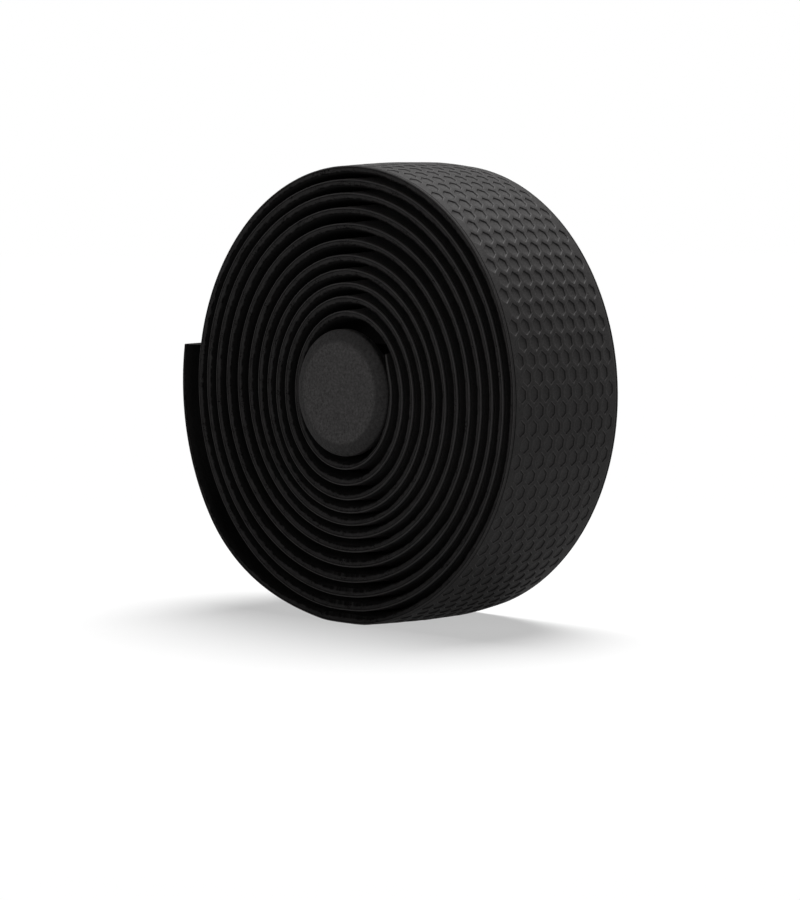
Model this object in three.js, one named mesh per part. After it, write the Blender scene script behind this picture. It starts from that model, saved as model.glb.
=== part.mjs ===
// A loose roll of handlebar tape standing on its rim, with a bar end plug nested in its hollow.
// Millimetres, +Z up. The roll's axis lies along Y, and the origin is the middle of the flat spot.

import * as THREE from 'three';

// Tape strip: its width, the foam in the middle, and the edges, skived thin on both faces
const TAPE_WIDTH = 30;
const FOAM_THICKNESS = 2.8;
const EDGE_THICKNESS = 1.2;
const CROWN = 0.69;
const SKIVE_WIDTH = 7;
const KNEE_DROP = 0.25;

// Winding: angles are measured from +X towards +Z, and the strip runs outwards clockwise
const CORE_RADIUS = 13.91;
const CORE_END_ANGLE = 37;
const TURN_PITCH = 2.913;
const TURN_GAP = 0.35;
const BOTTOM_PASSES = 12;

// How the turns stray from a true spiral: an oval, a drift of the outer turns, and slow sways
const OVALITY = 0.47;
const OVAL_ANGLE = 80;
const DRIFT_PER_TURN = 0.06;
const DRIFT_ANGLE = 61;
const TENSION_SWAY = { reach: 0.31, perTurn: 0.14, start: -82 };
const CENTRE_SWAY = { reach: 0.2, perTurn: 1.12, start: 103 };
const OVAL_SWAY = { reach: 0.26, perTurn: 2.06, start: 76 };

// Flat spot under the roll, pressed by its own weight
const BOTTOM_ANGLE = 270;
const FLAT_DEPTH = 0.9;
const FLAT_BLEND = 0.3;
const CHORD_FACING_LIMIT = 0.5;

// Inner end: it stays straight, springs off the plug and is thinner at its edges
const CORE_STRAIGHT_ARC = 24;
const CORE_CLEAR_ARC = 12;
const CORE_EDGE_THICKNESS = 0.8;
const CORE_THIN_TURNS = 0.6;

// Loose tail: arcs are measured on from the flat spot
const TAIL_ARC = 100;
const TAIL_LIFT = 2.65;
const LIFT_START_ARC = 11;
const LIFT_FULL_ARC = 56;
const TAIL_EDGE_THICKNESS = 0.6;

// Bar end plug: a chamfered head and a push-in stem with grip fins. It leans on the innermost turn
const HEAD_RADIUS = 12.7;
const DISC_RADIUS = 10.2;
const CHAMFER_HEIGHT = 1.1;
const RIM_THICKNESS = 1.6;
const RIM_ROUND = 0.35;
const UNDERSIDE_SLOPE = 1.2;
const STEM_RADIUS = 5.6;
const STEM_LENGTH = 15;
const STEM_CHAMFER = 0.8;
const FIN_RADIUS = 9.4;
const FIN_COUNT = 3;
const FIN_PITCH = 4.4;
const FIN_LIP = 0.6;
const FIN_SLOPE = 2;
const PLUG_LEAN_ANGLE = 159;
const PLUG_LEAN_GAP = 0.27;
const SEAT_GAP = 0.3;

// Facets: how far a flat facet may leave the true curve, and the sides of the plug
const FACET_SAG = 0.075;
const PLUG_SIDES = 40;
const ROUND_STEPS = 3;

const HALF_WIDTH = TAPE_WIDTH / 2;
const FULL_TURN = 360;
const FIRST_BOTTOM = ((CORE_END_ANGLE - BOTTOM_ANGLE + FULL_TURN) % FULL_TURN) / FULL_TURN;
const LAST_BOTTOM = FIRST_BOTTOM + BOTTOM_PASSES - 1;
const TAIL_END = LAST_BOTTOM + TAIL_ARC / FULL_TURN;

const { clamp, degToRad, lerp, smoothstep } = THREE.MathUtils;
const angleAt = (turn) => degToRad(CORE_END_ANGLE - FULL_TURN * turn);

// Where the leaning plug's axis lies, seen from the roll's
const PLUG_PLAY = Math.max(CORE_RADIUS - HEAD_RADIUS - PLUG_LEAN_GAP, 0);
const PLUG_SHIFT_X = PLUG_PLAY * Math.cos(degToRad(PLUG_LEAN_ANGLE));
const PLUG_SHIFT_Z = PLUG_PLAY * Math.sin(degToRad(PLUG_LEAN_ANGLE));

function sway(wave, turn) {
  return wave.reach * Math.cos(degToRad(FULL_TURN * wave.perTurn * turn + wave.start));
}

// Radius of the middle of the strip's outer face before the roll settles on its flat spot
function freeRadius(turn) {
  const straightTurns = CORE_STRAIGHT_ARC / FULL_TURN;
  if (turn < straightTurns) {
    return freeRadius(straightTurns) / Math.cos(angleAt(turn) - angleAt(straightTurns));
  }
  const angle = angleAt(turn);
  const oval = OVALITY * Math.cos(2 * (angle - degToRad(OVAL_ANGLE)));
  const drift = DRIFT_PER_TURN * turn * Math.cos(angle - degToRad(DRIFT_ANGLE));
  const sways = sway(TENSION_SWAY, turn) + sway(CENTRE_SWAY, turn) + sway(OVAL_SWAY, turn);
  return CORE_RADIUS + TURN_PITCH * turn + oval + drift + sways;
}

// How far the outer face falls away from its middle towards the skived edges
function crownDepth(across) {
  return CROWN * Math.max((Math.abs(across) - HALF_WIDTH + SKIVE_WIDTH) / SKIVE_WIDTH, 0);
}

// Height of the roll's centre over the lowest face of the turn that passes the bottom at this place
function settledHeight(bottom) {
  const share = (bottom / LAST_BOTTOM) ** 2;
  return freeRadius(bottom) - FLAT_DEPTH * share;
}

// The lesser of two lengths, with the corner between them rounded
function roundedMin(first, second) {
  const overlap = Math.max(FLAT_BLEND - Math.abs(first - second), 0);
  return Math.min(first, second) - overlap ** 2 / (4 * FLAT_BLEND);
}

// The outer face after settling: a chord where a turn passes the bottom, and a lift along the tail
function outerRadius(turn, across) {
  const pass = clamp(Math.round(turn - FIRST_BOTTOM), 0, BOTTOM_PASSES - 1);
  const facing = Math.max(Math.cos(angleAt(turn) - degToRad(BOTTOM_ANGLE)), CHORD_FACING_LIMIT);
  const chord = settledHeight(FIRST_BOTTOM + pass) / facing;
  const settled = roundedMin(freeRadius(turn) - crownDepth(across), chord);
  const tailArc = (turn - LAST_BOTTOM) * FULL_TURN;
  return settled + TAIL_LIFT * smoothstep(tailArc, LIFT_START_ARC, LIFT_FULL_ARC);
}

const CENTRE_HEIGHT = settledHeight(LAST_BOTTOM);

// Distance from the roll's centre to the plug's rim in the direction of an angle
function plugReach(angle) {
  const along = PLUG_SHIFT_X * Math.cos(angle) + PLUG_SHIFT_Z * Math.sin(angle);
  const across = PLUG_SHIFT_Z * Math.cos(angle) - PLUG_SHIFT_X * Math.sin(angle);
  return along + Math.sqrt(HEAD_RADIUS ** 2 - across ** 2);
}

// The smallest radius that the foam may swell to: what lies within it is a turn, or the plug
function innerLimit(turn, across) {
  if (turn > 1 - CORE_CLEAR_ARC / FULL_TURN) {
    return outerRadius(Math.max(turn - 1, 0), across) + TURN_GAP;
  }
  return plugReach(angleAt(turn)) + SEAT_GAP;
}

function edgeThickness(turn) {
  const fromCore = lerp(CORE_EDGE_THICKNESS, EDGE_THICKNESS, smoothstep(turn, 0, CORE_THIN_TURNS));
  return lerp(fromCore, TAIL_EDGE_THICKNESS, smoothstep(turn, LAST_BOTTOM, TAIL_END));
}

// The strip's section at a turn, as [place across the width, radius] pairs round its outline
function sectionAt(turn) {
  const shoulder = HALF_WIDTH - SKIVE_WIDTH;
  const knee = HALF_WIDTH - SKIVE_WIDTH / 2;
  const edgeDepth = CROWN + edgeThickness(turn);
  const kneeDepth = (edgeDepth + FOAM_THICKNESS) / 2 + KNEE_DROP;
  const outer = [-HALF_WIDTH, -shoulder, shoulder, HALF_WIDTH];
  const inner = [
    [HALF_WIDTH, edgeDepth],
    [knee, kneeDepth],
    [shoulder, FOAM_THICKNESS],
    [-shoulder, FOAM_THICKNESS],
    [-knee, kneeDepth],
    [-HALF_WIDTH, edgeDepth],
  ];
  const top = outerRadius(turn, 0);
  return [
    ...outer.map((across) => [across, outerRadius(turn, across)]),
    ...inner.map(([across, depth]) => [across, Math.max(top - depth, innerLimit(turn, across))]),
  ];
}

// Places along the strip, close enough that each facet stays within the sag
function stationTurns() {
  const turns = [];
  let turn = 0;
  while (turn < TAIL_END) {
    turns.push(turn);
    turn += Math.sqrt((8 * FACET_SAG) / outerRadius(turn, 0)) / (2 * Math.PI);
  }
  const stretch = TAIL_END / turn;
  return [...turns.map((place) => place * stretch), TAIL_END];
}

// One closed skin: the section carried along the stations, with a cap on each end
function tapeGeometry() {
  const positions = [];
  const faces = [];
  const turns = stationTurns();
  const sides = sectionAt(0).length;
  for (const turn of turns) {
    const angle = angleAt(turn);
    for (const [across, radius] of sectionAt(turn)) {
      positions.push(radius * Math.cos(angle), across, CENTRE_HEIGHT + radius * Math.sin(angle));
    }
  }
  for (let station = 0; station < turns.length - 1; station += 1) {
    for (let side = 0; side < sides; side += 1) {
      const a = station * sides + side;
      const b = station * sides + ((side + 1) % sides);
      faces.push(a, a + sides, b, b, a + sides, b + sides);
    }
  }
  const last = (turns.length - 1) * sides;
  for (let side = 1; side < sides - 1; side += 1) {
    faces.push(0, side, side + 1);
    faces.push(last, last + side + 1, last + side);
  }
  const geometry = new THREE.BufferGeometry();
  geometry.setAttribute('position', new THREE.Float32BufferAttribute(positions, 3));
  geometry.setIndex(faces);
  geometry.computeVertexNormals();
  return geometry;
}

// Points of a quarter-round between a face and a wall, seen as radius and height
function roundCorner(radius, height, round) {
  const points = [];
  for (let step = 0; step <= ROUND_STEPS; step += 1) {
    const turn = ((Math.PI / 2) * step) / ROUND_STEPS;
    points.push([radius - round + round * Math.sin(turn), height + round - round * Math.cos(turn)]);
  }
  return points;
}

// One grip fin: it slopes up from the stem's end and drops back behind a narrow lip
function finProfile(height) {
  return [
    [STEM_RADIUS, height],
    [FIN_RADIUS, height],
    [FIN_RADIUS, height + FIN_LIP],
    [STEM_RADIUS, height + FIN_LIP + FIN_SLOPE],
  ];
}

// Half section of the plug from the middle of its face to the end of its stem
function plugProfile() {
  const rim = -HALF_WIDTH;
  const face = rim - CHAMFER_HEIGHT;
  const back = rim + RIM_THICKNESS;
  const stemStart = back + UNDERSIDE_SLOPE;
  const stemEnd = stemStart + STEM_LENGTH;
  const profile = [[0, face], [DISC_RADIUS, face], ...roundCorner(HEAD_RADIUS, rim, RIM_ROUND)];
  profile.push([HEAD_RADIUS, back], [STEM_RADIUS, stemStart]);
  const firstFin = stemEnd - STEM_CHAMFER - FIN_LIP - FIN_SLOPE - FIN_PITCH * (FIN_COUNT - 1);
  for (let fin = 0; fin < FIN_COUNT; fin += 1) {
    profile.push(...finProfile(firstFin + fin * FIN_PITCH));
  }
  profile.push([STEM_RADIUS - STEM_CHAMFER, stemEnd], [0, stemEnd]);
  return profile.map(([radius, height]) => new THREE.Vector2(radius, height));
}

function tapeMaterial() {
  return new THREE.MeshStandardMaterial({ color: 0x262424, roughness: 0.72, metalness: 0 });
}

function plugMaterial() {
  return new THREE.MeshStandardMaterial({ color: 0x2f2d2d, roughness: 0.6, metalness: 0 });
}

function makeTape() {
  const mesh = new THREE.Mesh(tapeGeometry(), tapeMaterial());
  mesh.name = 'bar_tape';
  return mesh;
}

function makePlug() {
  const mesh = new THREE.Mesh(new THREE.LatheGeometry(plugProfile(), PLUG_SIDES), plugMaterial());
  mesh.name = 'end_plug';
  mesh.position.set(PLUG_SHIFT_X, 0, CENTRE_HEIGHT + PLUG_SHIFT_Z);
  return mesh;
}

const roll = new THREE.Group();
roll.add(makeTape(), makePlug());

export default roll;
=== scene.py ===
import math

import bmesh
import bpy
import numpy as np
from mathutils import Matrix, Vector


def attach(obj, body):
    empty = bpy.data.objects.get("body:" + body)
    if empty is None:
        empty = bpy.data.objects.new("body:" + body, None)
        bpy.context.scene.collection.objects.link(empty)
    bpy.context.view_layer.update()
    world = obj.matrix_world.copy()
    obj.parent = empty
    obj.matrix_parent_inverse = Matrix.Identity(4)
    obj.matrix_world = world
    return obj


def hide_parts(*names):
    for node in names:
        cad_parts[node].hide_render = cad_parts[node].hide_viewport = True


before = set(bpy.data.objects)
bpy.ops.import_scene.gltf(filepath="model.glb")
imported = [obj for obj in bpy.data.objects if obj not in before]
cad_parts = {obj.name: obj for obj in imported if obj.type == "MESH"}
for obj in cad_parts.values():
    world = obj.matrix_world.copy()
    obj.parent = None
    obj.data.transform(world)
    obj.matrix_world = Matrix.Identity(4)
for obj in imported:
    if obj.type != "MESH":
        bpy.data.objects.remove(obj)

bl_info = {
    "name": "Handlebar Tape Roll",
    "version": (1, 0, 0),
    "blender": (4, 5, 0),
    "location": "3D View > Sidebar > Tape Roll",
    "description": "Winds a roll of embossed foam handlebar tape and turns the bar end plug inside it",
    "category": "Object",
}

MM = 0.001
TURN = 2 * math.pi
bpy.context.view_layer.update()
CREASE_ANGLE = math.radians(62)
WELD_REACH = 0.001 * MM
ROUND_POINTS = 6
STATIONS_AFTER_TREAD = 3
# The three kinds of column round the strip's section
OUTER_FACE, CUT_EDGE, INNER_FACE = range(3)
# How the cut strays: spacing of the knots and weight, for slow waves and for quick ones
CUT_WANDER = ((7 * MM, 0.65), (2.1 * MM, 0.35))
SIDE_WANDER_SPACING = 38 * MM
NEAR_CUT_SEED, FAR_CUT_SEED, SIDE_SEED = 11, 21, 31


def length(name, description, millimetres):
    """A size that is given in millimetres and kept in metres."""
    return bpy.props.FloatProperty(
        name=name, description=description, default=millimetres * MM, precision=5, unit="LENGTH")


def angle(name, description, degrees):
    """A direction or an arc that is given in degrees and kept in radians."""
    return bpy.props.FloatProperty(
        name=name, description=description, default=math.radians(degrees), subtype="ANGLE")


def number(name, description, value):
    """A plain number or share."""
    return bpy.props.FloatProperty(name=name, description=description, default=value, precision=4)


def count(name, description, value):
    """A whole number of things."""
    return bpy.props.IntProperty(name=name, description=description, default=value, min=1)


def colour(name, description, value):
    """A linear colour."""
    return bpy.props.FloatVectorProperty(
        name=name, description=description, default=value, size=3, subtype="COLOR", min=0, max=1)


class StripSettings(bpy.types.PropertyGroup):
    """The flat tape: its width, its foam and its skived edges"""

    width: length("Width", "Across the tape", 30)
    foam: length("Foam", "Thickness in the middle", 2.8)
    edge: length("Edge", "Thickness at the cut edges", 1.15)
    crown: length("Crown", "Drop of the outer face from its middle to its edges", 0.69)
    skive: length("Skive", "Width of the part that thins towards an edge", 7)
    near_crown: length("Near crown", "Width over which the outer face falls towards its front edge", 14)
    knee: length("Knee", "How far the skived back bulges beyond a straight slope", 0.25)
    groove_depth: length("Groove depth", "Fine line pressed between the border and the tread", 0.13)
    edge_wander: length("Edge wander", "How far the cut strays in thickness", 0.2)
    side_wander: length("Side wander", "How far a turn lies in or out beside the next", 0.1)


class WindingSettings(bpy.types.PropertyGroup):
    """How the strip is wound, outwards and clockwise, with angles from +X towards +Z"""

    core_radius: length("Core radius", "Radius at the inner end", 13.91)
    core_end_angle: angle("Inner end", "Direction of the inner end", 37)
    pitch: length("Pitch", "Growth of the radius in one turn", 2.913)
    slit: length("Slit", "Least gap between two turns", 0.1)
    passes: count("Passes", "Turns that pass the flat spot", 12)
    ovality: length("Ovality", "How far the turns are from round", 0.47)
    oval_angle: angle("Oval angle", "Direction in which the oval is longest", 80)
    drift: length("Drift", "Shift of the turns' centre in one turn", 0.06)
    drift_angle: angle("Drift angle", "Direction of that shift", 61)
    bottom_angle: angle("Bottom", "Direction of the flat spot", 270)
    flat_depth: length("Flat depth", "How far the outermost turn is pressed flat", 0.9)
    flat_blend: length("Flat blend", "Rounding at both ends of the flat spot", 0.3)
    straight_arc: angle("Straight end", "Arc over which the inner end stays straight", 24)
    clear_arc: angle("Clear arc", "Arc before the inner end that already clears it", 12)
    core_edge: length("Core edge", "Edge thickness at the inner end", 0.8)
    core_thin_turns: number("Core thin turns", "Turns over which the edges reach full thickness", 0.6)
    tail_arc: angle("Tail arc", "Arc of the tail after the flat spot", 100)
    tail_lift: length("Tail lift", "How far the tail stands off the roll", 2.65)
    lift_start: angle("Lift start", "Arc at which the tail starts to lift", 11)
    lift_full: angle("Lift full", "Arc at which the tail is fully lifted", 56)
    tail_edge: length("Tail edge", "Edge thickness at the outer end", 0.6)
    station_step: length("Station step", "Spacing of the sections along the strip", 1.5)


class TreadSettings(bpy.types.PropertyGroup):
    """The hexagons pressed into the outer face"""

    pitch: length("Pitch", "Spacing of the hexagons across the tape", 3.125)
    columns: count("Columns", "Hexagons in a long row", 9)
    middle: length("Middle", "Where the middle of a row lies across the tape", -0.3)
    row: length("Row", "Spacing of the rows along the tape", 3.3)
    reach: length("Reach", "From the middle of a cell to its point", 2.32)
    web: length("Web", "Width of the skin left between two hexagons", 0.84)
    depth: length("Depth", "Depth of the floor", 0.31)
    rows: count("Rows", "Rows that are modelled, an odd number", 113)
    end_margin: length("End margin", "Plain skin after the last row", 0.84)


class PlugSettings(bpy.types.PropertyGroup):
    """The bar end plug in the middle of the roll"""

    head_radius: length("Head radius", "Radius of the head", 12.7)
    disc_radius: length("Disc radius", "Radius of the flat face", 10.2)
    chamfer: length("Chamfer", "Height of the sloping ring", 1.1)
    bulge: length("Bulge", "How far the ring stands out beyond a straight slope", 0.22)
    rim: length("Rim", "Thickness of the rim behind the ring", 1.6)
    rim_round: length("Rim round", "Rounding of the rim", 0.35)
    face_round: length("Face round", "Rounding between the face and the ring", 0.5)
    underside: length("Underside", "Slope from the rim to the stem", 1.2)
    stem_radius: length("Stem radius", "Radius of the stem", 5.6)
    stem_length: length("Stem length", "Length of the stem", 15)
    stem_chamfer: length("Stem chamfer", "Chamfer at the stem's end", 0.8)
    fin_radius: length("Fin radius", "Radius of a grip fin", 9.4)
    fin_pitch: length("Fin pitch", "Spacing of the fins", 4.4)
    fin_lip: length("Fin lip", "Thickness of a fin at its edge", 0.6)
    fin_slope: length("Fin slope", "Length of a fin's sloping side", 2)
    fins: count("Fins", "Number of grip fins", 3)
    lean_angle: angle("Lean angle", "Direction in which the plug leans on the innermost turn", 159)
    lean_gap: length("Lean gap", "What the hollow leaves beside the leaning plug", 0.27)
    sides: count("Sides", "Facets round the plug", 192)


class FinishSettings(bpy.types.PropertyGroup):
    """Colours and grain of the tape and the plug"""

    skin: colour("Skin", "Outer face of the tape", (0.0280, 0.0266, 0.0266))
    foam: colour("Foam", "Cut edge of the foam", (0.0250, 0.0240, 0.0240))
    back: colour("Back", "Inner face of the tape", (0.0110, 0.0106, 0.0106))
    # The flat face's colour is a painted sheen: the same plastic as the ring, painted lighter
    plug: colour("Plug", "Flat face of the plug", (0.0465, 0.0444, 0.0444))
    ring: colour("Ring", "Smooth ring and sides of the plug", (0.0245, 0.0234, 0.0234))
    grain: length("Grain", "Size of the leathery grain of the skin", 0.32)
    pit: length("Pit", "Size of an open cell in the cut foam", 0.34)


class StageSettings(bpy.types.PropertyGroup):
    """The camera, the lamps and the floor"""

    azimuth: angle("Azimuth", "Direction of the camera, from the front towards +X", 44.681)
    elevation: angle("Elevation", "Height of the camera over the horizon", 3.847)
    roll: angle("Roll", "Tilt of the camera about its view", -0.222)
    distance: length("Distance", "From the camera to the point it looks at", 652.869)
    target_x: length("Target X", "Point the camera looks at", 0.389)
    target_z: length("Target Z", "Point the camera looks at", 45.302)
    lens: bpy.props.FloatProperty(
        name="Lens", description="Focal length", default=129.46, unit="CAMERA")
    shift: number("Shift", "Upright shift of the frame", -0.0633)
    floor_radius: length("Floor radius", "Radius of the floor", 3000)
    shade_radius: length("Shade radius", "Radius within which the floor shows shadows", 260)
    floor: colour("Floor", "Floor under the object", (0.34, 0.34, 0.34))
    fill: number("Fill", "Brightness of the room behind the lamps", 0.015)


class TapeRollSettings(bpy.types.PropertyGroup):
    """Everything that a user would change"""

    strip: bpy.props.PointerProperty(type=StripSettings)
    winding: bpy.props.PointerProperty(type=WindingSettings)
    tread: bpy.props.PointerProperty(type=TreadSettings)
    plug: bpy.props.PointerProperty(type=PlugSettings)
    finish: bpy.props.PointerProperty(type=FinishSettings)
    stage: bpy.props.PointerProperty(type=StageSettings)


def smoothstep(value, low, high):
    """Zero below low, one above high, and the cubic 3 t^2 - 2 t^3 between them."""
    share = np.clip((value - low) / (high - low), 0, 1)
    return share * share * (3 - 2 * share)


def wander(arc, spacing, seed):
    """A random line from -1 to 1: seeded values at even knots along the arc, eased into each other."""
    knots = np.random.default_rng(seed).uniform(-1, 1, int(arc.max() / spacing) + 3)
    place = arc / spacing
    knot = place.astype(int)
    return knots[knot] + (knots[knot + 1] - knots[knot]) * smoothstep(place - knot, 0, 1)


class Winding:
    """Where the strip runs, for places counted in turns from its inner end and distances across it."""

    # Sways of the radius: reach, waves in one turn, and phase at the inner end
    TENSION_SWAY = (0.31 * MM, 0.14, math.radians(-82))
    CENTRE_SWAY = (0.2 * MM, 1.12, math.radians(103))
    OVAL_SWAY = (0.26 * MM, 2.06, math.radians(76))
    CROWN_POWER = 1.35
    FACING_LIMIT = 0.5
    ARC_SAMPLES = 24001

    def __init__(self, settings):
        self.wind = settings.winding
        self.strip = settings.strip
        self.plug = settings.plug
        self.half = self.strip.width / 2
        self.first_bottom = (self.wind.core_end_angle - self.wind.bottom_angle) / TURN % 1
        self.last_bottom = self.first_bottom + self.wind.passes - 1
        self.tail_end = self.last_bottom + self.wind.tail_arc / TURN
        self.straight_turns = self.wind.straight_arc / TURN
        self.centre_height = float(self.settled_height(self.last_bottom))
        self.arc_turns = np.linspace(0, self.tail_end, self.ARC_SAMPLES)
        path = self.place(self.arc_turns, 0, self.outer_radius(self.arc_turns, 0))
        steps = np.linalg.norm(np.diff(path, axis=0), axis=1)
        self.arc_lengths = np.concatenate([[0], np.cumsum(steps)])
        self.arc_end = self.arc_lengths[-1]

    def angle(self, turn):
        """The direction falls by a full circle in each turn."""
        return self.wind.core_end_angle - TURN * np.asarray(turn, float)

    def spiral_radius(self, turn):
        """A growing radius, plus an oval, a drift of the centre and three slow sways."""
        wind, direction = self.wind, self.angle(turn)
        radius = wind.core_radius + wind.pitch * turn
        radius = radius + wind.ovality * np.cos(2 * (direction - wind.oval_angle))
        radius = radius + wind.drift * turn * np.cos(direction - wind.drift_angle)
        for reach, per_turn, start in (self.TENSION_SWAY, self.CENTRE_SWAY, self.OVAL_SWAY):
            radius = radius + reach * np.cos(TURN * per_turn * turn + start)
        return radius

    def free_radius(self, turn):
        """The spiral, with its inner end carried straight on: its radius there over the cosine of the turn
        that is left to it."""
        turn = np.asarray(turn, float)
        straight = turn < self.straight_turns
        bend = np.where(straight, self.angle(turn) - self.angle(self.straight_turns), 0)
        on_line = self.spiral_radius(self.straight_turns) / np.cos(bend)
        return np.where(straight, on_line, self.spiral_radius(turn))

    def settled_height(self, bottom):
        """Height of the centre over the lowest face of a turn, which is pressed by a share of the flat depth
        that grows as the square of its place."""
        return self.free_radius(bottom) - self.wind.flat_depth * (bottom / self.last_bottom) ** 2

    def crown_drop(self, across):
        """The outer face falls away towards its edges by a power of the share of the sloping part."""
        sloping = np.where(np.asarray(across) < 0, self.strip.near_crown, self.strip.skive)
        share = np.clip((np.abs(across) - self.half + sloping) / sloping, 0, 1)
        return self.strip.crown * share ** self.CROWN_POWER

    def outer_radius(self, turn, across):
        """The lesser of the crowned spiral and the chord of the flat spot, rounded where the two meet, plus
        the lift of the tail."""
        turn = np.asarray(turn, float)
        passing = np.clip(np.round(turn - self.first_bottom), 0, self.wind.passes - 1)
        facing = np.maximum(np.cos(self.angle(turn) - self.wind.bottom_angle), self.FACING_LIMIT)
        chord = self.settled_height(self.first_bottom + passing) / facing
        free = self.free_radius(turn) - self.crown_drop(across)
        overlap = np.maximum(self.wind.flat_blend - np.abs(free - chord), 0)
        settled = np.minimum(free, chord) - overlap ** 2 / (4 * self.wind.flat_blend)
        lift = smoothstep((turn - self.last_bottom) * TURN, self.wind.lift_start, self.wind.lift_full)
        return settled + self.wind.tail_lift * lift

    def plug_shift(self):
        """The plug's axis from the roll's: it leans on the innermost turn by what the hollow leaves."""
        play = max(self.wind.core_radius - self.plug.head_radius - self.plug.lean_gap, 0)
        return play * math.cos(self.plug.lean_angle), play * math.sin(self.plug.lean_angle)

    def plug_reach(self, direction):
        """Distance from the roll's axis to the plug's rim."""
        shift_x, shift_z = self.plug_shift()
        along = shift_x * np.cos(direction) + shift_z * np.sin(direction)
        beside = shift_z * np.cos(direction) - shift_x * np.sin(direction)
        return along + np.sqrt(self.plug.head_radius ** 2 - beside ** 2)

    def inner_limit(self, turn, across):
        """The least radius of the back: the turn or the plug that lies within, and a slit."""
        within = self.outer_radius(np.maximum(turn - 1, 0), across)
        return self.wind.slit + np.where(
            turn > 1 - self.wind.clear_arc / TURN, within, self.plug_reach(self.angle(turn)))

    def edge_thickness(self, turn):
        """Thin at the inner end, full along the roll, and thin again at the tail."""
        wind, strip = self.wind, self.strip
        core = wind.core_edge + (strip.edge - wind.core_edge) * smoothstep(turn, 0, wind.core_thin_turns)
        return core + (wind.tail_edge - core) * smoothstep(turn, self.last_bottom, self.tail_end)

    def back_drop(self, across, edge):
        """Depth of the back under the crown: a bulging slope from the thin edge to the full foam."""
        share = np.clip((self.half - np.abs(across)) / self.strip.skive, 0, 1)
        slope = self.strip.crown + edge + (self.strip.foam - self.strip.crown - edge) * share
        return slope + 4 * self.strip.knee * share * (1 - share)

    def place(self, turn, across, radius):
        """Points in space: the radius turned to the direction of the place, and the distance across in Y."""
        direction = self.angle(turn)
        x, y, z = np.broadcast_arrays(radius * np.cos(direction), across, radius * np.sin(direction))
        return np.stack([x, y, z + self.centre_height], -1)

    def turn_at(self, arc):
        """The place in turns at a length along the outer face."""
        return np.interp(arc, self.arc_lengths, self.arc_turns)


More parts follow.
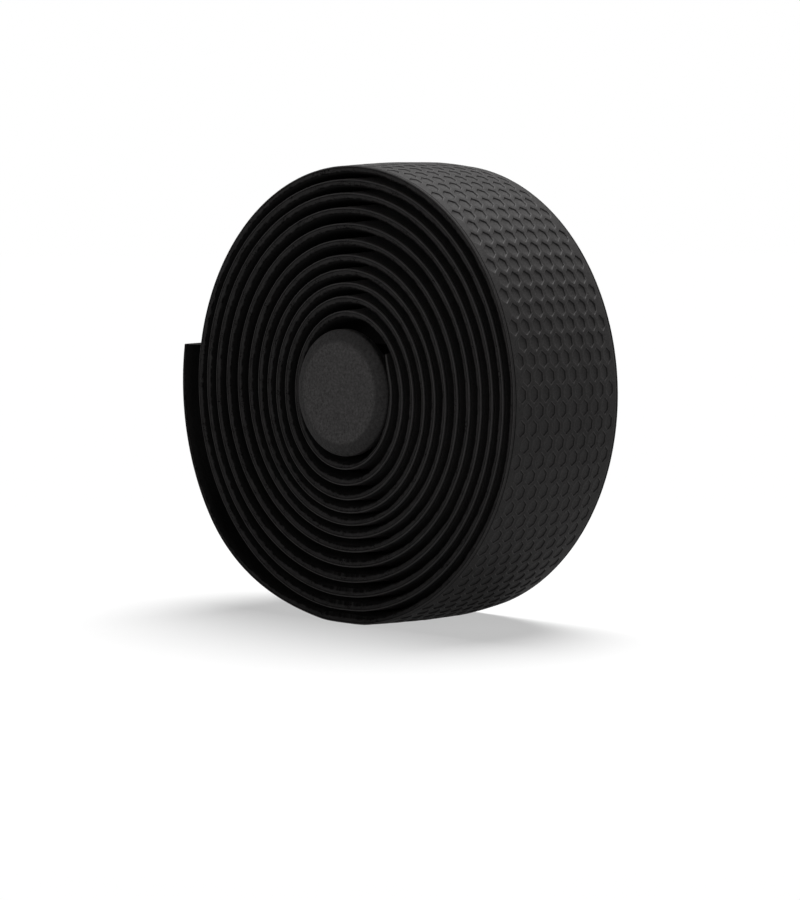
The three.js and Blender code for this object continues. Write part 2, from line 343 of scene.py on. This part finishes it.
class Tread:
    """The grid of hexagons: rows along the tape, with nine and eight cells in turn across it."""

    # A cell's wall: inset from the side of the web in millimetres, and share of the depth there
    WALL = ((-0.12, 0), (0, 0.13), (0.09, 0.42), (0.18, 0.9), (0.28, 1))
    SIDE_STEPS = 4

    def __init__(self, settings, winding):
        self.size = settings.tread
        self.winding = winding
        self.columns = self.size.columns
        self.side = self.columns * self.size.pitch / 2
        self.blunt = self.size.row - self.size.reach
        self.last = winding.arc_end - self.size.end_margin
        self.first = self.last - (self.size.rows - 1) * self.size.row

    def hexagon(self, inset):
        """Corners of a cell drawn in by an inset: points along the tape, and flat sides beside it."""
        half = self.size.pitch / 2
        slant = math.hypot(half, self.size.reach - self.blunt)
        point = self.size.reach - inset * slant / half
        side = half - inset
        blunt = point - side * (self.size.reach - self.blunt) / half
        half_outline = np.array([[point, 0], [blunt, side], [-blunt, side]])
        return np.concatenate([half_outline, -half_outline])

    def centres(self, odd):
        """Centres of the whole cells of the even or of the odd rows, as pairs of arc and distance across."""
        rows = np.arange(1 if odd else 2, self.size.rows - 1, 2)
        cells = self.columns - 1 if odd else self.columns
        across = self.size.middle + (np.arange(cells) - (cells - 1) / 2) * self.size.pitch
        arcs = self.first + rows * self.size.row
        return np.stack(np.meshgrid(arcs, across, indexing="ij"), -1).reshape(-1, 2)

    def stations(self):
        """Arcs at which the tread's sides have a corner, with steps along the longer stretches."""
        rows = np.arange(1, self.size.rows - 1, 2)
        steps = np.linspace(-self.size.reach, self.size.reach, self.SIDE_STEPS + 1)
        inner = (self.first + rows[:, None] * self.size.row + steps[None, :]).ravel()
        return np.concatenate([[self.first], inner, [self.last]])

    def columns_across(self):
        """Distances across at which the first and the last row meet the plain strip."""
        return self.size.middle + (np.arange(self.columns + 1) - self.columns / 2) * self.size.pitch

    def whole_cells(self):
        """Every recessed cell as rings of six corners: the cell's outline, its wall from the rim down to the
        foot, and the floor inside the last ring."""
        wall = [(self.size.web / 2 + inset * MM, share * self.size.depth) for inset, share in self.WALL]
        rings = [(0, 0)] + wall
        centres = np.concatenate([self.centres(False), self.centres(True)])
        outline = np.concatenate([self.hexagon(inset) for inset, _ in rings])
        flat = (centres[:, None, :] + outline[None, :, :]).reshape(-1, 2)
        drop = np.tile(np.repeat([drop for _, drop in rings], 6), len(centres))
        start = np.arange(len(centres))[:, None, None] * len(outline)
        corner = np.arange(6)
        after = (corner + 1) % 6
        ring = 6 * np.arange(len(rings) - 1)[:, None]
        quads = np.stack([ring + corner, ring + after, ring + 6 + after, ring + 6 + corner], -1)
        walls = (start + quads.reshape(1, -1, 4)).reshape(-1, 4)
        floors = (start[:, 0] + (len(rings) - 1) * 6 + corner[None, :]).reshape(-1, 6)
        return flat, drop, walls.tolist() + floors.tolist()

    def blank_cells(self):
        """The plain half cells: beside the short rows, and along the first and the last row."""
        size, half = self.size, self.size.pitch / 2
        steps = np.linspace(size.reach, -size.reach, self.SIDE_STEPS + 1)
        top = np.concatenate([[[-self.blunt, -half], [self.blunt, -half]],
                              np.stack([steps, np.zeros_like(steps)], -1)])
        bottom = (top * (1, -1))[::-1]
        start = np.array([[0, -half], [self.blunt, -half], [size.reach, 0], [self.blunt, half], [0, half]])
        end = (start * (-1, 1))[::-1]
        arcs = self.first + np.arange(1, size.rows - 1, 2) * size.row
        middles = size.middle + (np.arange(self.columns) - (self.columns - 1) / 2) * size.pitch
        cells = [(top, [(arc, size.middle + self.side) for arc in arcs]),
                 (bottom, [(arc, size.middle - self.side) for arc in arcs]),
                 (start, [(self.first, across) for across in middles]),
                 (end, [(self.last, across) for across in middles])]
        flat, faces, used = [], [], 0
        for outline, centres in cells:
            flat.append((np.array(centres)[:, None, :] + outline[None]).reshape(-1, 2))
            faces += (used + np.arange(len(centres) * len(outline)).reshape(-1, len(outline))).tolist()
            used += len(centres) * len(outline)
        return np.concatenate(flat), faces


class Section:
    """The strip's outline across its width, as columns from the middle of the back over the outer face and
    round to the back again. Each column has a distance across, and what sets its radius."""

    # Beside the tread: inset from the edge and drop under the outer face, in millimetres
    BORDER = ((0.63, 0), (0.52, 0), (0.4, 0), (0.24, -0.02), (0.1, 0.03), (0.02, 0.11), (0, 0.22))
    # Which of these is the bottom of the pressed line, whose drop is the groove depth
    GROOVE = 1
    # Down the cut: inset from the edge, in millimetres, and share of the thickness there
    CUT = ((0.09, 0.5), (0.17, 0.86), (0.25, 1.0))
    # Along the back: share of the skive from the edge, the last one in the middle of the full foam
    BACK = (0.05, 0.22, 0.5, 0.78, 1, 1.55)

    def __init__(self, settings, tread):
        half = settings.strip.width / 2
        border = np.array(self.BORDER) * MM
        border[self.GROOVE, 1] = settings.strip.groove_depth
        cut = np.array(self.CUT)
        back = half - np.array(self.BACK) * settings.strip.skive
        side = np.concatenate([half - border[:, 0], half - cut[:, 0] * MM, back])
        side_drop = np.concatenate([border[:, 1], np.zeros(len(cut) + len(back))])
        side_share = np.concatenate([np.zeros(len(border)), cut[:, 1], np.zeros(len(back))])
        side_kind = np.repeat([OUTER_FACE, CUT_EDGE, INNER_FACE], [len(border), len(cut), len(back)])
        inner = tread.columns_across()
        plain = np.zeros(len(inner), int)
        self.first = 1 + len(side)
        self.last = self.first + len(inner) - 1
        self.across = np.concatenate([[0], -side[::-1], inner, side])
        self.drop = np.concatenate([[0], side_drop[::-1], plain, side_drop])
        self.share = np.concatenate([[0], side_share[::-1], plain, side_share])
        self.kind = np.concatenate([[INNER_FACE], side_kind[::-1], plain + OUTER_FACE, side_kind])
        self.columns = len(self.across)

    def tread_quads(self):
        """Columns whose faces the tread takes over: all that lie between its two sides."""
        return np.arange(self.first, self.last)


def cut_stray(arcs, seed):
    """How the cut strays along one edge, from -1 to 1: slow waves plus quick ones."""
    waves = [wander(arcs, spacing, seed + step) * weight
             for step, (spacing, weight) in enumerate(CUT_WANDER)]
    return sum(waves)[:, None]


def wound_strip(winding, section, tread, arcs):
    """The section carried along the winding: one row of points a station, with the cut and the back strayed
    by seeded wander. Gives points, arc, distance across, depth under the outer face and share of the
    thickness."""
    strip = winding.strip
    turn = winding.turn_at(arcs)[:, None]
    kind, across = section.kind, section.across
    stray = np.where(across < 0, cut_stray(arcs, NEAR_CUT_SEED), cut_stray(arcs, FAR_CUT_SEED))
    edge = winding.edge_thickness(turn) + strip.edge_wander * stray
    outer = winding.outer_radius(turn, across) - section.drop
    cut_depth = edge * section.share
    cut = winding.outer_radius(turn, winding.half) - cut_depth
    free_back = winding.outer_radius(turn, 0) - winding.back_drop(across, edge)
    back = np.maximum(free_back, winding.inner_limit(turn, across))
    radius = np.where(kind == OUTER_FACE, outer, np.where(kind == CUT_EDGE, cut, back))
    depth = np.where(kind == OUTER_FACE, section.drop, np.where(kind == CUT_EDGE, cut_depth, edge))
    share = np.broadcast_to(np.where(kind == INNER_FACE, 1, section.share), depth.shape)
    arc = np.broadcast_to(arcs[:, None], depth.shape)
    shift = strip.side_wander * wander(arcs, SIDE_WANDER_SPACING, SIDE_SEED)[:, None]
    at_edge = smoothstep(np.abs(across), tread.side + abs(tread.size.middle), winding.half)
    shifted = across + shift * at_edge
    return winding.place(turn, shifted, radius), arc, shifted, depth, share


def strip_faces(stations, section, tread_stations):
    """Quads between neighbouring stations and columns, less those that the tread takes over."""
    station, column = np.meshgrid(np.arange(stations - 1), np.arange(section.columns), indexing="ij")
    beside = (column + 1) % section.columns
    width = section.columns
    quads = np.stack([station * width + column, (station + 1) * width + column,
                      (station + 1) * width + beside, station * width + beside], -1)
    taken = np.isin(column, section.tread_quads()) & np.isin(station, tread_stations)
    return quads[~taken], section.kind[column[~taken]], section.kind[beside[~taken]]


def ring_faces(rings, sides):
    """Quads between neighbouring rings of points that are numbered ring by ring."""
    ring, side = np.meshgrid(np.arange(rings - 1) * sides, np.arange(sides), indexing="ij")
    beside = (side + 1) % sides
    quads = np.stack([ring + side, ring + sides + side, ring + sides + beside, ring + beside], -1)
    return quads.reshape(-1, 4).tolist()


def fan_faces(middle, ring):
    """Triangles from a middle point to each side of a ring."""
    return np.stack([np.full(len(ring), middle), ring, np.roll(ring, -1)], -1).tolist()


def new_piece(name, points, faces, finish):
    """A mesh object at the origin, smooth but for its creases, from points and faces."""
    mesh = bpy.data.meshes.new(name)
    mesh.from_pydata(points, [], faces)
    mesh.polygons.foreach_set("use_smooth", np.ones(len(mesh.polygons), bool))
    mesh.materials.append(finish)
    piece = bpy.data.objects.new(name, mesh)
    bpy.context.scene.collection.objects.link(piece)
    return piece


def add_attribute(piece, name, values, domain="POINT"):
    """One number for each point or face, for the finish to read."""
    layer = piece.data.attributes.new(name, "FLOAT", domain)
    layer.data.foreach_set("value", np.ascontiguousarray(values, np.float32))


def weld(piece, reach):
    """Joins the points of neighbouring patches that fall together."""
    shell = bmesh.new()
    shell.from_mesh(piece.data)
    loose = [point for point in shell.verts if not point.link_faces]
    bmesh.ops.delete(shell, geom=loose, context="VERTS")
    bmesh.ops.remove_doubles(shell, verts=shell.verts, dist=reach)
    shell.to_mesh(piece.data)
    shell.free()


def tread_skin(winding, tread):
    """The tread as one sheet of cells, recessed and plain. Gives points, arc, distance across, depth under
    the outer face, and faces."""
    cells, drop, cell_faces = tread.whole_cells()
    blanks, blank_faces = tread.blank_cells()
    arc, across = np.concatenate([cells, blanks]).T
    drop = np.concatenate([drop, np.zeros(len(blanks))])
    turn = winding.turn_at(arc)
    points = winding.place(turn, across, winding.outer_radius(turn, across) - drop)
    blank_faces = [[corner + len(cells) for corner in face] for face in blank_faces]
    return points, arc, across, drop, cell_faces + blank_faces


def wind_tape(settings, finish):
    """The whole strip as one closed skin: the wound section, the tread set into it and a cut at each end."""
    winding = Winding(settings)
    tread = Tread(settings, winding)
    section = Section(settings, tread)
    before = np.linspace(0, tread.first, int(tread.first / settings.winding.station_step) + 1)[:-1]
    along = tread.stations()
    after = np.linspace(tread.last, winding.arc_end, STATIONS_AFTER_TREAD + 1)[1:]
    arcs = np.concatenate([before, along, after])
    points, arc, across, depth, share = wound_strip(winding, section, tread, arcs)
    quads, kind, kind_beside = strip_faces(
        len(arcs), section, np.arange(len(before), len(before) + len(along) - 1))
    tread_points, tread_arc, tread_across, tread_drop, tread_faces = tread_skin(winding, tread)

    loops = len(arcs) * section.columns
    start_cap = list(range(section.columns))
    end_cap = list(range(loops - 1, loops - section.columns - 1, -1))
    faces = quads.tolist() + [[corner + loops for corner in face] for face in tread_faces]
    faces += [start_cap, end_cap]
    piece = new_piece("bar_tape_strip", np.concatenate([points.reshape(-1, 3), tread_points]), faces, finish)

    on_cut = (kind == CUT_EDGE) | (kind_beside == CUT_EDGE)
    on_back = (kind == INNER_FACE) & (kind_beside == INNER_FACE)
    plain = np.zeros(len(tread_faces))
    add_attribute(piece, "cut", np.concatenate([on_cut, plain, [1, 1]]), "FACE")
    add_attribute(piece, "back", np.concatenate([on_back, plain, [0, 0]]), "FACE")
    add_attribute(piece, "depth", np.concatenate([depth.ravel(), tread_drop]))
    add_attribute(piece, "share", np.concatenate([share.ravel(), np.zeros(len(tread_drop))]))
    add_attribute(piece, "arc", np.concatenate([arc.ravel(), tread_arc]))
    add_attribute(piece, "across", np.concatenate([across.ravel(), tread_across]))
    weld(piece, WELD_REACH)
    piece.data.set_sharp_from_angle(angle=CREASE_ANGLE)
    return piece


def rounded_path(corners, rounds):
    """A path of straight stretches with each corner replaced by a curve: a quadratic from the point that is
    one round before the corner to the point that is one round after it."""
    corners = np.asarray(corners, float)
    share = np.linspace(0, 1, ROUND_POINTS)[:, None]
    path = [corners[:1]]
    for before, corner, after, reach in zip(corners[:-2], corners[1:-1], corners[2:], rounds):
        start = corner + (before - corner) * min(reach / np.linalg.norm(before - corner), 0.5)
        end = corner + (after - corner) * min(reach / np.linalg.norm(after - corner), 0.5)
        path.append(start * (1 - share) ** 2 + corner * 2 * share * (1 - share) + end * share ** 2)
    return np.concatenate(path + [corners[-1:]])


def plug_path(plug, half_width):
    """Half section of the plug, from the middle of its face over the ring and the rim to the stem's end."""
    rim = -half_width
    face = rim - plug.chamfer
    back = rim + plug.rim
    stem_start = back + plug.underside
    stem_end = stem_start + plug.stem_length
    ring_middle = ((plug.disc_radius + plug.head_radius + plug.bulge) / 2, (face + rim) / 2 - plug.bulge)
    corners = [(0, face), (plug.disc_radius, face), ring_middle, (plug.head_radius, rim),
               (plug.head_radius, back), (plug.stem_radius, stem_start)]
    rounds = [plug.face_round, plug.chamfer, plug.rim_round, plug.rim_round, plug.rim_round]
    fins_length = plug.fin_pitch * (plug.fins - 1) + plug.fin_lip + plug.fin_slope
    first = stem_end - plug.stem_chamfer - fins_length
    for fin in range(plug.fins):
        foot = first + fin * plug.fin_pitch
        lip = foot + plug.fin_lip
        corners += [(plug.stem_radius, foot), (plug.fin_radius, foot), (plug.fin_radius, lip),
                    (plug.stem_radius, lip + plug.fin_slope)]
        rounds += [plug.rim_round, plug.fin_lip / 4, plug.fin_lip / 4, plug.rim_round]
    corners += [(plug.stem_radius - plug.stem_chamfer, stem_end), (0, stem_end)]
    rounds += [plug.rim_round / 2]
    return rounded_path(corners, rounds)


def turn_plug(settings, finish):
    """The plug's half section turned about its own axis, with one point at each pole."""
    winding = Winding(settings)
    path = plug_path(settings.plug, winding.half)
    shift_x, shift_z = winding.plug_shift()
    sides = settings.plug.sides
    direction = np.arange(sides) / sides * TURN
    rings = path[1:-1]
    height = winding.centre_height + shift_z
    x = rings[:, :1] * np.cos(direction) + shift_x
    y = np.broadcast_to(rings[:, 1:], x.shape)
    z = rings[:, :1] * np.sin(direction) + height
    poles = [(shift_x, path[0, 1], height), (shift_x, path[-1, 1], height)]
    points = np.concatenate([np.stack([x, y, z], -1).reshape(-1, 3), poles])
    front = np.arange(sides)
    rear = (len(rings) * sides - 1) - front
    faces = ring_faces(len(rings), sides) + fan_faces(x.size, front) + fan_faces(x.size + 1, rear)
    piece = new_piece("end_plug_body", points, faces, finish)
    # Where the flat face lies, which the finish paints lighter as a painted sheen
    flat = smoothstep(np.repeat(rings[:, 0], sides), settings.plug.disc_radius + settings.plug.face_round,
                      settings.plug.disc_radius - settings.plug.face_round)
    flat *= np.repeat(rings[:, 1], sides) < -winding.half
    add_attribute(piece, "flat", np.concatenate([flat, [1, 0]]))
    piece.data.set_sharp_from_angle(angle=CREASE_ANGLE)
    return piece


class Link:
    """A socket of a finish, with the arithmetic that the finishes are written in."""

    def __init__(self, finish, socket):
        self.finish = finish
        self.socket = socket

    def __add__(self, other):
        return self.finish.math("ADD", self, other)

    def __sub__(self, other):
        return self.finish.math("SUBTRACT", self, other)

    def __rsub__(self, other):
        return self.finish.math("SUBTRACT", other, self)

    def __mul__(self, other):
        return self.finish.math("MULTIPLY", self, other)

    __radd__ = __add__
    __rmul__ = __mul__


class Finish:
    """The nodes of a material or of the room, and the calls that build them."""

    def __init__(self, owner, shader, **uniform):
        owner.use_nodes = True
        self.owner = owner
        self.tree = owner.node_tree
        self.shader = self.tree.nodes[shader]
        for socket, value in uniform.items():
            self.shader.inputs[socket.replace("_", " ")].default_value = value

    @classmethod
    def of_material(cls, name, **uniform):
        """A new material, with the values that don't vary set on its shader."""
        return cls(bpy.data.materials.new(name), "Principled BSDF", **uniform)

    def node(self, kind, settings=(), sockets=(), output=0):
        """Any node: its settings are set first, then the values or links of its sockets."""
        made = self.tree.nodes.new(kind)
        for name, value in dict(settings).items():
            setattr(made, name, value)
        for name, value in dict(sockets).items():
            if isinstance(value, Link):
                self.tree.links.new(value.socket, made.inputs[name])
            else:
                made.inputs[name].default_value = value
        return Link(self, made.outputs[output])

    def math(self, operation, first, second=0.0):
        """Arithmetic on numbers. Colours go through mix and scaled instead."""
        return self.node("ShaderNodeMath", {"operation": operation}, {0: first, 1: second})

    def absolute(self, value):
        return self.math("ABSOLUTE", value)

    def attribute(self, name):
        """A number that the piece's mesh holds for each point or face."""
        return self.node("ShaderNodeAttribute", {"attribute_name": name}, output="Fac")

    def place(self):
        """Where a point lies on its piece, in metres."""
        return self.node("ShaderNodeTexCoord", output="Object")

    def point(self, x, y, z):
        return self.node("ShaderNodeCombineXYZ", sockets={"X": x, "Y": y, "Z": z})

    def noise(self, place, size, detail=3.0, roughness=0.55):
        """Noise from 0 to 1 with cells of about the size given."""
        return self.node("ShaderNodeTexNoise", sockets={
            "Vector": place, "Scale": 1 / size, "Detail": detail, "Roughness": roughness}, output="Fac")

    def cells(self, place, size):
        """Distance to the nearest of the points that are scattered a size apart."""
        return self.node("ShaderNodeTexVoronoi", {"feature": "F1"}, {"Vector": place, "Scale": 1 / size},
                         output="Distance")

    def ramp(self, value, low, high, start=0.0, end=1.0):
        """Eases from start to end while the value goes from low to high."""
        return self.node("ShaderNodeMapRange", {"interpolation_type": "SMOOTHSTEP"}, {
            "Value": value, "From Min": low, "From Max": high, "To Min": start, "To Max": end})

    def mix(self, share, first, second):
        """Mixes two colours."""
        return self.node("ShaderNodeMix", {"data_type": "RGBA"}, {
            0: share, 6: self.opaque(first), 7: self.opaque(second)}, output=2)

    def scaled(self, tint, share):
        """A colour made lighter or darker by a share."""
        return self.node("ShaderNodeVectorMath", {"operation": "SCALE"}, {"Vector": tint, "Scale": share})

    def bump(self, height, distance):
        """A surface raised by the height times the distance."""
        return self.node("ShaderNodeBump", sockets={
            "Height": height, "Distance": distance, "Strength": 1.0}, output="Normal")

    @staticmethod
    def opaque(tint):
        """A colour as its three numbers and a full alpha, or a link as it is."""
        return tint if isinstance(tint, Link) else (*tint, 1)

    def feed(self, **links):
        """Links what varies over the surface to the shader."""
        for socket, link in links.items():
            self.tree.links.new(link.socket, self.shader.inputs[socket.replace("_", " ")])


def tape_finish(look, strip, tread):
    """Embossed skin with a fine leathery grain and a pressed line beside each edge, streaked and pitted foam
    on the cut edges, and a plain felted back. Painted shade lies in the pressed line, on the cells' walls
    and along the cut's back edge, and painted highlights lie on the cells' rims."""
    finish = Finish.of_material("tape_foam", Specular_IOR_Level=0.0, Coat_Roughness=0.6)
    place = finish.place()
    cut, back, depth, share, arc, across = (
        finish.attribute(name) for name in ("cut", "back", "depth", "share", "arc", "across"))
    fine = finish.noise(place, look.grain, detail=2.0, roughness=0.6)
    cells = finish.cells(place, look.grain * 1.6)
    broad = finish.noise(place, 9 * MM, detail=3.0)

    # The cut: streaks along it, open cells in patches, the skin's own edge, a seam, and painted shade in
    # ragged patches along its back edge, beside the slit between turns
    along_cut = finish.point(arc * 0.1, depth, across * 0.02)
    streaks = finish.noise(along_cut, 0.22 * MM, detail=2.0)
    pits = finish.ramp(finish.cells(place, look.pit), 0.16, 0.42)
    patches = finish.ramp(finish.noise(place, 2.4 * MM, detail=2.0), 0.46, 0.62)
    open_cells = 1 - (1 - pits) * patches
    skin_line = finish.ramp(depth, 0.16 * MM, 0.3 * MM, 1.0, 0.0) * cut
    seam = finish.ramp(finish.absolute(depth - 0.38 * MM), 0.03 * MM, 0.12 * MM, 0.45, 1.0)
    notches = finish.noise(finish.point(arc, across * 0.1, 0.0), 1.5 * MM, detail=3.0)
    # Painted shade: the cut darkens in ragged patches towards its back edge
    back_edge_shade = finish.ramp(share + notches * 0.8, 1.16, 1.46, 1.0, 0.2)

    # The skin: the pressed line, then the rim, wall and floor of a cell by its share of the full depth, with
    # a painted highlight on the rim, painted shade on the wall, and the floor painted a little lighter
    # against its shade
    groove_place = strip.width / 2 - Section.BORDER[Section.GROOVE][0] * MM
    from_groove = finish.absolute(across) - groove_place
    # Painted shade in the pressed line beside each edge: the skin is darker there, and so is its coat
    groove = finish.ramp(finish.absolute(from_groove), 0.05 * MM, 0.16 * MM, 0.35, 1.0)
    in_tread = finish.ramp(from_groove, -0.12 * MM, -0.1 * MM, 1.0, 0.0)
    sunk = depth * (1 / tread.depth)
    rim = finish.ramp(sunk, 0.03, 0.12) * finish.ramp(sunk, 0.25, 0.45, 1.0, 0.0)
    wall = finish.ramp(sunk, 0.35, 0.55) * finish.ramp(sunk, 0.86, 1.0, 1.0, 0.0)
    floor = finish.ramp(sunk, 0.9, 1.0)
    # Painted light on the cells: lighter on the rims, darker on the walls, a little lighter on the floors;
    # it scales the coat as well
    pressed = (rim * 0.6 - wall * 0.32 + floor * 0.12) * in_tread + 1
    skin = finish.scaled(look.skin, (fine * 0.5 + broad * 0.3 + 0.6) * groove * pressed)
    foam = finish.scaled(look.foam, open_cells * (streaks * 1.3 + fine * 0.6 + 0.1) * seam * back_edge_shade)
    felt = finish.scaled(look.back, fine * 0.6 + 0.7)
    colour_cut = finish.mix(skin_line * 0.7, foam, skin)
    tint = finish.mix(back, finish.mix(cut, skin, colour_cut), felt)

    height = (fine * 0.6 + cells * 0.5) * (1 - cut) + (open_cells * 2.2 + streaks * 1.4) * cut
    gloss = (1 - cut) * (1 - back) * (fine * 0.36 + 0.07) * pressed * groove
    finish.feed(Base_Color=tint,
                Roughness=finish.ramp(cut + back, 0, 1, 0.62, 0.85) + (fine - 0.5) * 0.12,
                Normal=finish.bump(height, 0.05 * MM),
                Coat_Weight=gloss)
    return finish.owner


def plug_finish(look):
    """Moulded plastic with a fine spark-eroded grain. Its flat face is painted lighter than the ring and
    sides: a painted sheen on the same plastic.
    """
    finish = Finish.of_material("plug_plastic", Specular_IOR_Level=0.04)
    place = finish.place()
    fine = finish.noise(place, 0.5 * MM, detail=3.0, roughness=0.7)
    cells = finish.cells(place, 0.7 * MM)
    broad = finish.noise(place, 6 * MM)
    flat = finish.attribute("flat")
    grain = fine * 2.1 + broad * 0.2 - cells * 0.3 - 0.01
    # The flat face is painted lighter than the ring, a painted sheen
    finish.feed(Base_Color=finish.scaled(finish.mix(flat, look.ring, look.plug), grain),
                Roughness=0.56 + (fine - 0.5) * 0.15,
                Normal=finish.bump(fine * 0.7 + cells * 0.5, 0.14 * MM))
    return finish.owner


def shown_rays(finish):
    """One for what the camera sees, straight, mirrored or through glass, and nought for light that falls on
    surfaces."""
    paths = [finish.node("ShaderNodeLightPath", output=f"Is {ray} Ray")
             for ray in ("Camera", "Glossy", "Transmission")]
    return finish.math("MINIMUM", paths[0] + paths[1] + paths[2], 1.0)


def floor_finish(stage):
    """A pale floor that keeps the shadow near the object and runs out into white further off."""
    finish = Finish.of_material("pale_floor", Specular_IOR_Level=0.0, Roughness=1.0, Emission_Strength=1.0)
    away = finish.node("ShaderNodeVectorMath", {"operation": "LENGTH"}, {"Vector": finish.place()},
                       output="Value")
    far = finish.ramp(away, stage.shade_radius * 0.4, stage.shade_radius)
    shown = shown_rays(finish)
    speckle = finish.noise(finish.place(), 30 * MM) * 0.01
    finish.feed(Base_Color=finish.scaled(stage.floor, 1 - far * shown + speckle),
                Emission_Color=finish.scaled((1, 1, 1), shown * (far * 0.5 + 0.5)))
    return finish.owner


def add_sun(name, towards, strength, width):
    """A broad lamp far off: it shines from a direction with an even strength."""
    lamp = bpy.data.lights.new(name, "SUN")
    lamp.energy = strength
    lamp.angle = math.radians(width)
    sun = bpy.data.objects.new(name, lamp)
    sun.rotation_mode = "QUATERNION"
    sun.rotation_quaternion = Vector(towards).to_track_quat("Z", "Y")
    bpy.context.scene.collection.objects.link(sun)


def light_room(stage):
    """A world that is white where it is seen, and a dim even fill on surfaces."""
    world = bpy.data.worlds.new("room")
    room = Finish(world, "Background", Color=(1, 1, 1, 1))
    room.feed(Strength=shown_rays(room) * (1 - stage.fill) + stage.fill)
    bpy.context.scene.world = world


def place_camera(stage):
    """Turns the camera to its azimuth, elevation and roll, and moves it back from its target."""
    around, above, roll = stage.azimuth, stage.elevation, stage.roll
    back = Vector((math.sin(around) * math.cos(above), -math.cos(around) * math.cos(above), math.sin(above)))
    right = Vector((math.cos(around), math.sin(around), 0))
    up = back.cross(right)
    tilted_right = right * math.cos(roll) + up * math.sin(roll)
    tilted_up = up * math.cos(roll) - right * math.sin(roll)
    target = Vector((stage.target_x, 0, stage.target_z))
    data = bpy.data.cameras.new("camera")
    data.lens = stage.lens
    data.sensor_width = 36
    data.shift_y = stage.shift
    data.clip_start = 0.01
    data.clip_end = 20
    camera = bpy.data.objects.new("camera", data)
    turned = Matrix((tilted_right, tilted_up, back)).transposed().to_4x4()
    camera.matrix_world = Matrix.Translation(target + back * stage.distance) @ turned
    bpy.context.scene.collection.objects.link(camera)
    bpy.context.scene.camera = camera


def lay_floor(stage):
    """A round floor under the object, as rings of points about the origin."""
    sides = 96
    radii = np.array([0.05, 0.15, 0.4, 1.0]) * stage.floor_radius
    direction = np.arange(sides) / sides * TURN
    x, y = (radii[:, None] * wave(direction) for wave in (np.cos, np.sin))
    points = np.concatenate([np.stack([x, y, np.zeros_like(x)], -1).reshape(-1, 3), [(0, 0, 0)]])
    faces = ring_faces(len(radii), sides) + fan_faces(x.size, np.arange(sides))
    return new_piece("floor", points, faces, floor_finish(stage))


class TAPEROLL_OT_wind_tape(bpy.types.Operator):
    """Wind the strip of tape, with its tread, its cut edges and its loose tail"""

    bl_idname = "taperoll.wind_tape"
    bl_label = "Wind Tape"

    def execute(self, context):
        settings = context.scene.tape_roll
        tape = wind_tape(settings, tape_finish(settings.finish, settings.strip, settings.tread))
        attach(tape, "root")
        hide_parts("bar_tape")
        return {"FINISHED"}


class TAPEROLL_OT_turn_plug(bpy.types.Operator):
    """Turn the bar end plug that sits in the middle of the roll"""

    bl_idname = "taperoll.turn_plug"
    bl_label = "Turn Plug"

    def execute(self, context):
        settings = context.scene.tape_roll
        plug = turn_plug(settings, plug_finish(settings.finish))
        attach(plug, "root")
        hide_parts("end_plug")
        return {"FINISHED"}


class TAPEROLL_OT_set_stage(bpy.types.Operator):
    """Lay the floor, set the lamps and place the camera"""

    bl_idname = "taperoll.set_stage"
    bl_label = "Set Stage"

    # Each lamp's name, the direction that it stands in, its strength and its width in degrees
    LAMPS = (("top_lamp", (-0.12, 0.30, 0.94), 5.2, 42),
             ("front_lamp", (-0.20, -0.97, 0.05), 1.45, 30),
             ("back_lamp", (0.55, 0.83, 0.03), 0.3, 20))

    def execute(self, context):
        stage = context.scene.tape_roll.stage
        lay_floor(stage)
        light_room(stage)
        for name, towards, strength, width in self.LAMPS:
            add_sun(name, towards, strength, width)
        place_camera(stage)
        return {"FINISHED"}


class TAPEROLL_PT_panel(bpy.types.Panel):
    """The steps that make the roll, and what they read"""

    bl_idname = "TAPEROLL_PT_panel"
    bl_label = "Tape Roll"
    bl_space_type = "VIEW_3D"
    bl_region_type = "UI"
    bl_category = "Tape Roll"

    def draw(self, context):
        settings = context.scene.tape_roll
        for operator in OPERATORS:
            self.layout.operator(operator.bl_idname)
        for name in ("strip", "winding", "tread", "plug", "finish", "stage"):
            box = self.layout.box()
            box.label(text=name.capitalize())
            group = getattr(settings, name)
            for prop in type(group).__annotations__:
                box.prop(group, prop)


GROUPS = (StripSettings, WindingSettings, TreadSettings, PlugSettings, FinishSettings, StageSettings,
          TapeRollSettings)
OPERATORS = (TAPEROLL_OT_set_stage, TAPEROLL_OT_wind_tape, TAPEROLL_OT_turn_plug)
CLASSES = (*GROUPS, *OPERATORS, TAPEROLL_PT_panel)


def register():
    for cls in CLASSES:
        bpy.utils.register_class(cls)
    bpy.types.Scene.tape_roll = bpy.props.PointerProperty(type=TapeRollSettings)


def unregister():
    del bpy.types.Scene.tape_roll
    for cls in reversed(CLASSES):
        bpy.utils.unregister_class(cls)


def main():
    register()
    bpy.context.scene.view_settings.view_transform = "Standard"
    bpy.ops.taperoll.set_stage()
    bpy.ops.taperoll.wind_tape()
    bpy.ops.taperoll.turn_plug()


if __name__ == "__main__":
    main()
